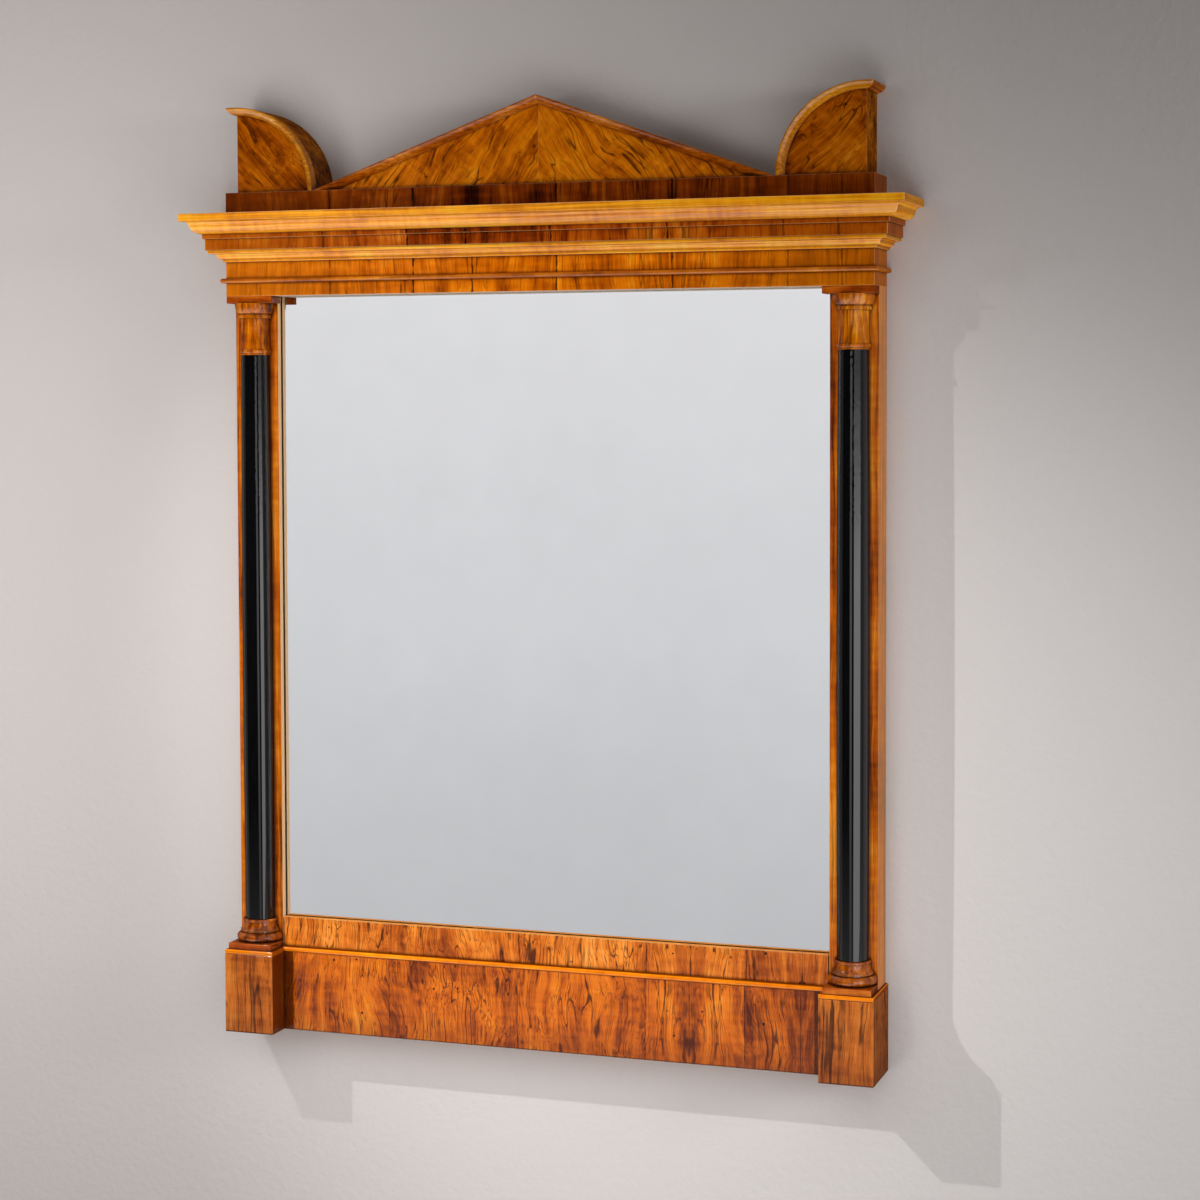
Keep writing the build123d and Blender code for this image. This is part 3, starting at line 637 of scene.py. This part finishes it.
def dress_apron():
    """The apron board and the rail above it, in one figured veneer, and the bead and caps."""
    leaf_plan = [(-0.60, -0.60), (-0.198, -0.198), (-0.034, -0.034), (0.124, 0.177), (0.243, 0.309)]
    figured = dict(plan=leaf_plan, seam=(0.0004, 0.9), seam_figure=0.16, band=0.012, length=0.13,
                   sway=(0.085, 0.044), flutter=(0.014, 0.0030), lines=(0.006, 0.9),
                   hair=(0.0024, 0.78), streaks=(0.006, 0.71, 0.85), dark="3a1004", bands=0.6,
                   curl=0.10, broad=0.34, fibre=0.16, worm=0.9, worn="f4c888", worn_depth=0.7,
                   polish=0.05, side_polish=0.25)
    flame = tones("682608", "98420a", "c05a0c", "ce660e", "da7414", "e48826")
    # the apron takes painted shade towards its foot and at its ends
    apron = wood("apron_veneer", flame, upright, foot=FOOT, stained_end=APRON_STAIN, **figured)
    dress(apron, "apron_board")
    paler = tones("883a0c", "b45614", "cf6c1a", "dc7a22", "e68830", "ee9c4a")
    # the rail's faces beside the glass take painted light
    rail = wood("rail_veneer", paler, upright, reveal=0.6, reveal_tint="ffa850", **figured)
    dress(rail, "bottom_rail")
    # the side and top faces of the bead and caps take painted shade
    bead = wood("bead_wood", tones("b45004", "de7204", "ee8204", "f8960c"), level_x, band=0.004,
                length=0.3, sway=(0.1, 0.004), lines=(0.01, 0.1), bands=0.6, streaks=(0.02, 0.9, 0.1),
                polish=0.05, coat=0.45, worn="ffc060", side_shade=0.75, side_tint="4c1e08",
                inner_tint="8a3a04", level_shade=0.8)
    dress(bead, "apron_bead", *pair("plinth_cap"))


def dress_supports():
    """The plinths, slabs and abacus blocks, and the stiles behind the columns."""
    # the plinths' side faces take painted shade, darker on the inner sides
    plinth = wood("plinth_veneer", tones("5c270a", "904410", "b05a18", "c46c20", "d88434"), upright,
                  band=0.010, length=0.25, sway=(0.09, 0.016), lines=(0.007, 0.8),
                  streaks=(0.008, 0.66, 0.85), hair=(0.003, 0.5), bands=0.5, fibre=0.2, broad=0.3,
                  dark="2c1208", polish=0.09, coat=0.8, side_polish=0.7, side_shade=0.5,
                  side_tint="4c2c1c", inner_tint="4a1400", foot=FOOT)
    dress(plinth, *pair("plinth_block"))
    slab = wood("slab_wood", tones("6c2402", "a84806", "d07414"), level_x, band=0.005, length=0.2,
                lines=(0.01, 0.2), streaks=(0.02, 0.85, 0.2), polish=0.05, worn="f0a040",
                side_shade=0.7, side_tint="4a1c0c", level_shade=0.3)
    dress(slab, *pair("column_slab"))
    abacus = wood("abacus_wood", tones("5a1c02", "a04406", "c46410"), level_x, band=0.005, length=0.2,
                  lines=(0.008, 0.4), streaks=(0.02, 0.8, 0.4), polish=0.05, coat=0.5, worn="e09848",
                  side_shade=0.5, side_tint="4a1c0c")
    dress(abacus, *pair("abacus_block"))
    # the stiles' side faces take pale painted light
    stile = wood("stile_veneer", tones("642402", "9c4404", "ba5806", "d06c0a", "e48a24"), upright,
                 length=0.4, sway=(0.12, 0.012), flutter=(0.03, 0.002), lines=(0.008, 0.7),
                 streaks=(0.010, 0.64, 0.85), bands=0.8, dark="30140a", side_polish=0.3,
                 side_shade=0.55, side_tint="c89264", reveal=0.85, worn="f6c084", worn_depth=0.6)
    dress(stile, *pair("stile"))


def dress_columns():
    """The turned capitals and bases, and the black shafts between them."""
    turned = dict(length=0.08, sway=(0.05, 0.016), broad=0.3, dark="200a02", worn="e8a040")
    capital = wood("capital_wood", tones("501e02", "8e4002", "b65a02", "cc7006", "e29018"), upright,
                   lines=(0.008, 0.6), bands=0.9, streaks=(0.010, 0.68, 0.8), coat=0.5, **turned)
    dress(capital, *pair("column_capital"))
    base = wood("base_wood", tones("300e02", "5e2602", "823802", "a65204", "cc721c"), upright,
                lines=(0.008, 0.25), bands=0.7, streaks=(0.010, 0.72, 0.4), hair=(0.003, 0.15),
                polish=0.02, coat=0.8, **turned)
    dress(base, *pair("column_base"))
    dress(ebonised(), *pair("column_shaft"))


def ebonised():
    """Black polish on an even wood, whose grain hardly shows."""
    grain_size = (0.001, 0.001, 0.03)
    swell_size = (0.02, 0.02, 0.06)
    material, graph = new_material("ebonised_polish")
    point = graph.place()
    grain = graph.noise(point, grain_size, detail=2.0)
    swell = graph.noise(point, swell_size, detail=1.0)
    graph.finish(
        Base_Color=graph.ramp(grain, [(0.3, "040405"), (0.7, "0a0a0b")]),
        Roughness=graph.varied(grain, 0.3, 0.4),
        Specular_IOR_Level=0.0,
        Normal=graph.bump(grain, 0.00002),
        Coat_Weight=steady_gloss(graph, 1.0),
        Coat_Roughness=0.03,
        Coat_Normal=graph.bump(swell, 0.00006),
    )
    return material


def dress_crest():
    """The leaves of the pediment and the quarters, with slanting grain, and the blocks behind them."""
    lean = 38.0
    quarter_lean = 1.2  # in leans of the pediment, the other way
    flowing = dict(band=0.008, length=0.09, sway=(0.08, 0.050), flutter=(0.016, 0.004),
                   lines=(0.006, 0.85), streaks=(0.007, 0.75, 0.5), hair=(0.003, 0.45), bands=0.65,
                   broad=0.3, dark="3a1602")
    crest = tones("6e2c00", "a64e00", "ca6800", "e07e04", "f29818")
    umber = tones("4a1c00", "863a00", "aa5200", "c46804", "da8215")
    for side, angle in (("left", -lean), ("right", lean)):
        face = wood("tympanum_veneer_" + side, crest, slanting(angle), **flowing)
        dress(face, "tympanum_" + side)
        quarter = wood("quarter_veneer_" + side, umber, slanting(-angle * quarter_lean), worm=0.7,
                       **flowing)
        dress(quarter, "quarter_leaf_" + side)
    block = wood("block_veneer", tones("3e1a02", "7b3e04", "a55b08", "c67b18"), level_x, band=0.007,
                 length=0.15, lines=(0.01, 0.5), dark="241004", bands=0.6, streaks=(0.012, 0.68, 0.7),
                 coat=0.3)
    dress(block, *pair("quarter_block"), "pediment_block")


def dress_bare_wood():
    """The boards and blocks behind the glass, and the oak of the pegs and dowels."""
    ring_size = (0.004, 0.004, 0.5)
    stain_size, stain_edges, stain_depth = (0.2, 0.2, 0.3), (0.35, 0.7), 0.4
    bend_size, bend_reach = 0.12, 0.02
    oak_size = (0.001, 0.004, 0.001)
    boards, graph = new_material("aged_spruce")
    point = graph.place()
    ring = graph.noise(wander(graph, point, bend_size, bend_reach), ring_size)
    shade = graph.ramp(ring, [(0.25, "6e4c2c"), (0.5, "9a7448"), (0.8, "b89262")])
    stain = graph.span(graph.noise(point, stain_size), *stain_edges)
    graph.finish(
        Base_Color=graph.tint(shade, "5b4027", stain, stain_depth),
        Roughness=graph.varied(ring, 0.6, 0.8),
        Normal=graph.bump(ring, 0.0002),
    )
    dress(boards, "backboard_1", "backboard_2", "backboard_3", "glass_blocks")

    oak, graph = new_material("oak_pegs")
    ring = graph.noise(graph.place(), oak_size)
    graph.finish(
        Base_Color=graph.ramp(ring, [(0.3, "6b4a28"), (0.7, "9c7444")]),
        Roughness=0.6,
        Normal=graph.bump(ring, 0.0001),
    )
    dress(oak, "frame_pegs", "crest_dowels")


def film_on_glass():
    """The silver film, just inside the back of the glass, so that they don't share a plane."""
    node = nodes["mirror_silvering"]
    film = bpy.data.objects.new("silver_film", node.data.copy())
    film.data.transform(Matrix.Translation((0.0, -FILM_INSET, 0.0)))
    bpy.context.scene.collection.objects.link(film)
    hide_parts("mirror_silvering")
    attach(film, list(frame["bodies"])[0])
    return film


def dress_mirror():
    """Clear glass with a faint wave, and the silver behind it."""
    wave_size = (0.25, 0.25, 0.25)
    cloud_size = (0.06, 0.06, 0.06)
    glass, graph = new_material("plate_glass")
    wave = graph.noise(graph.place(), wave_size, detail=1.0)
    graph.finish(
        Base_Color=graph.ramp(wave, [(0.3, "fafafb"), (0.7, "fcfcfd")]),
        Roughness=0.0,
        IOR=1.5,
        Transmission_Weight=1.0,
        Normal=graph.bump(wave, 0.00002),
    )
    dress(glass, "mirror_glass")

    silver, graph = new_material("silvering")
    cloud = graph.noise(graph.place(), cloud_size)
    graph.finish(
        Base_Color=graph.ramp(cloud, [(0.3, "f4f4f5"), (0.7, "f7f7f8")]),
        Metallic=1.0,
        Roughness=0.02,
    )
    dress(silver, "mirror_silvering")
    film_on_glass().data.materials[0] = silver


def dress_iron():
    """The hanging plates, their screws and the nails of the backboards, with rust in patches."""
    patch_size = (0.006, 0.006, 0.006)
    patch_edges = (0.42, 0.62)
    iron, graph = new_material("old_iron")
    rust = graph.span(graph.noise(graph.place(), patch_size, detail=5.0), *patch_edges)
    graph.finish(
        Base_Color=graph.mix(rust, colour("2c2a28"), colour("5a3320")),
        Metallic=graph.fade(rust, 0.9, 0.2),
        Roughness=graph.fade(rust, 0.45, 0.8),
        Normal=graph.bump(rust, 0.0002),
    )
    dress(iron, *pair("hanging_plate"), "hanging_plate_screws", "backboard_nails")


def sheet(name, corners, material):
    mesh = bpy.data.meshes.new(name)
    mesh.from_pydata(corners, [], [range(len(corners))])
    made = bpy.data.objects.new(name, mesh)
    made.data.materials.append(material)
    bpy.context.scene.collection.objects.link(made)
    return made


def upright_sheet(name, left, right, bottom, top, material):
    corners = [(*left, bottom), (*right, bottom), (*right, top), (*left, top)]
    return sheet(name, corners, material)


def plain(name, code, one_sided=False):
    """A matt and finely mottled surface. Where it is one-sided, the camera and the lamps see through it
    from behind, so that the back of the mirror can be looked at."""
    mottle_size = (0.010, 0.010, 0.010)
    material, graph = new_material(name)
    mottle = graph.noise(graph.place(), mottle_size)
    surface, output = graph.finish(
        Base_Color=colour(code),
        Roughness=0.9,
        Specular_IOR_Level=0.1,
        Normal=graph.bump(mottle, 0.0008),
    )
    if one_sided:
        behind = graph.node("ShaderNodeNewGeometry", {}).outputs["Backfacing"]
        shadow = graph.node("ShaderNodeLightPath", {}).outputs["Is Shadow Ray"]
        clear = graph.node("ShaderNodeBsdfTransparent", {}).outputs[0]
        shown = {0: graph.largest(behind, shadow), 1: surface.outputs[0], 2: clear}
        graph.feed(output.inputs["Surface"], graph.node("ShaderNodeMixShader", shown).outputs[0])
    return material


def card(name, left, right, bottom, top, levels):
    """An upright glowing sheet from left to right, seen only in the polish.
    levels lists (height, strength): the strength runs evenly from one height to the next."""
    material, graph = new_material(name)
    height = graph.split(graph.place())[2]
    strength = levels[0][1]
    for (low, before), (high, level) in zip(levels, levels[1:]):
        strength = graph.math("ADD", strength, graph.slope(height, low, high, 0.0, level - before))
    glow = graph.node("ShaderNodeEmission", {"Color": colour("f6f4f6"), "Strength": strength})
    graph.node("ShaderNodeOutputMaterial", {"Surface": glow.outputs[0]})
    made = upright_sheet(name, left, right, bottom, top, material)
    for kind in ("camera", "diffuse", "transmission", "shadow", "volume_scatter"):
        setattr(made, "visible_" + kind, False)


def make_stage():
    """The floor, the wall just behind the mirror, and the glowing cards that the polish mirrors."""
    half = 6.0
    floor_level = -1.95
    wall_top = 2.2
    wall_y = 0.0015
    square = ((-half, -half), (half, -half), (half, half), (-half, half))
    floor = sheet("floor", [(x, y, floor_level) for x, y in square], plain("pale_floor", "c2bcb8"))
    floor.visible_glossy = False
    floor.visible_transmission = False
    wall = plain("pale_wall", "c8c1be", one_sided=True)
    card("front_card", (0.125, -1.39), (0.47, -1.29), -1.13, -0.08, [(-1.0, 0.9), (-0.6, 1.6)])
    card("side_card", (0.70, -1.07), (2.2, -0.90), -1.20, 0.0,
         [(-1.1, 3.3), (-0.45, 4.0), (-0.10, 1.0)])
    upright_sheet("wall", (-half, wall_y), (half, wall_y), floor_level, wall_top, wall)


def aimed(thing, place, target):
    thing.location = place
    thing.rotation_mode = "QUATERNION"
    thing.rotation_quaternion = (Vector(target) - Vector(place)).to_track_quat("-Z", "Y")


def lamp(name, kind, power, place, target, **settings):
    data = bpy.data.lights.new(name, kind)
    data.energy = power
    for key, value in settings.items():
        setattr(data, key, value)
    made = bpy.data.objects.new(name, data)
    bpy.context.scene.collection.objects.link(made)
    aimed(made, place, target)
    return made


def unseen_lamp(name, kind, power, place, target, **settings):
    """A lamp that lights the scene and isn't seen in the polish or the mirror."""
    made = lamp(name, kind, power, place, target, **settings)
    made.visible_glossy = False
    made.visible_transmission = False


def make_lamps():
    """A hard key from the upper left, five fills around it, and a lamp behind for views of the back."""
    lamp("key", "SPOT", 108.0, (-1.17, -1.03, 0.57), (0.5, 0.0, -1.0), spot_size=math.radians(48.0),
         spot_blend=1.0, shadow_soft_size=0.008, color=(0.95, 0.98, 1.0))
    unseen_lamp("low_fill", "AREA", 10.7, (0.36, -1.12, -0.62), (-0.46, 0.0, -1.5), size=1.3,
                color=(0.94, 0.98, 1.0))
    unseen_lamp("left_fill", "AREA", 15.2, (-0.86, -1.26, -0.36), (-2.0, 0.0, -0.34), size=1.1)
    unseen_lamp("top_fill", "AREA", 2.1, (-0.42, -1.25, 0.25), (-0.20, 0.0, 0.06), size=0.6)
    unseen_lamp("right_fill", "AREA", 50.0, (3.4, -1.0, 0.2), (1.4, 0.0, -2.2), size=0.8,
                color=(0.92, 0.97, 1.0))
    unseen_lamp("under_fill", "SPOT", 27.0, (-0.30, -1.60, -1.35), (0.05, 0.0, -0.98),
                spot_size=math.radians(38.0), spot_blend=1.0, shadow_soft_size=0.3)
    lamp("back_light", "AREA", 22.0, (0.0, 2.4, -0.38), (0.0, 0.0, -0.38), size=0.7)


def make_world():
    """Even pale light, with dim bands that only the polish mirrors and greys that the glass shows.
    The bands lie by the turn from straight before the mirror to its right, in radians, and by height."""
    world = bpy.data.worlds.new("studio")
    bpy.context.scene.world = world
    graph = Graph(world)
    ambient_level = 0.172
    rest_level = 0.01
    greys = [(0.0, "bebec0"), (0.5, "dedfe0"), (1.0, "f0f0f1")]
    greys_low, greys_high = -0.28, 0.08
    x, y, z = graph.split(graph.node("ShaderNodeTexCoord", {}).outputs["Generated"])
    around = graph.math("ARCTAN2", x, graph.math("MULTIPLY", y, -1.0))

    def between(value, rise, fall):
        return graph.product(graph.span(value, *rise), graph.span(value, *fall))

    right = between(around, (0.70, 1.10), (2.30, 1.00))
    left = between(around, (-1.15, -1.25), (-1.95, -1.85))
    above = between(z, (0.42, 0.58), (0.98, 0.85))
    lower_half = graph.span(z, -0.16, -0.26)
    below = between(z, (-0.38, -0.55), (-1.0, -0.85, 0.3, 1.0))
    strength = rest_level
    for band, level in ((right, 0.40), (left, 0.25), (above, 0.5), (lower_half, 0.42), (below, 2.8)):
        strength = graph.math("MULTIPLY_ADD", band, level, strength)
    pale = {0: (1.0, 0.98, 0.98), "Scale": strength}
    in_polish = graph.node("ShaderNodeVectorMath", pale, operation="SCALE").outputs["Vector"]
    in_glass = graph.ramp(graph.slope(z, greys_low, greys_high), greys)
    path = graph.node("ShaderNodeLightPath", {}).outputs
    shown = graph.mix(path["Is Glossy Ray"], colour("d6cfca"), in_polish)
    shown = graph.mix(path["Is Transmission Ray"], shown, in_glass)
    direct = graph.largest(path["Is Camera Ray"], path["Is Glossy Ray"], path["Is Transmission Ray"])
    level = graph.fade(direct, ambient_level, 1.0)
    background = graph.node("ShaderNodeBackground", {"Color": shown, "Strength": level})
    graph.node("ShaderNodeOutputWorld", {"Surface": background.outputs[0]})


def make_camera():
    """Stands right of the mirror's middle, about 2.9 m away, and looks a little down and to the left."""
    place = Vector((0.9954, -2.7572, -0.1686))
    pan, tilt, roll = (math.radians(angle) for angle in (18.825, -2.590, -0.179))
    picture = 1200  # width and height of the photograph, in its own pixels, as are the next two
    focal_length = 2488.7
    axis_height = 510
    ahead = Vector((-math.sin(pan) * math.cos(tilt), math.cos(pan) * math.cos(tilt), math.sin(tilt)))
    level = Vector((math.cos(pan), math.sin(pan), 0))
    above = level.cross(ahead)
    right = level * math.cos(roll) + above * math.sin(roll)
    up = above * math.cos(roll) - level * math.sin(roll)
    turn = Matrix((right, up, -ahead)).transposed().to_4x4()
    data = bpy.data.cameras.new("camera")
    data.sensor_width = 36.0
    data.lens = data.sensor_width * (focal_length / picture)
    data.shift_y = axis_height / picture - 0.5
    made = bpy.data.objects.new("camera", data)
    bpy.context.scene.collection.objects.link(made)
    made.matrix_world = Matrix.Translation(place) @ turn
    bpy.context.scene.camera = made


dress_boards()
dress_mouldings()
dress_apron()
dress_supports()
dress_columns()
dress_crest()
dress_bare_wood()
dress_mirror()
dress_iron()
make_stage()
make_lamps()
make_world()
make_camera()
bpy.context.scene.view_settings.view_transform = "Standard"

bpy.context.view_layer.update()
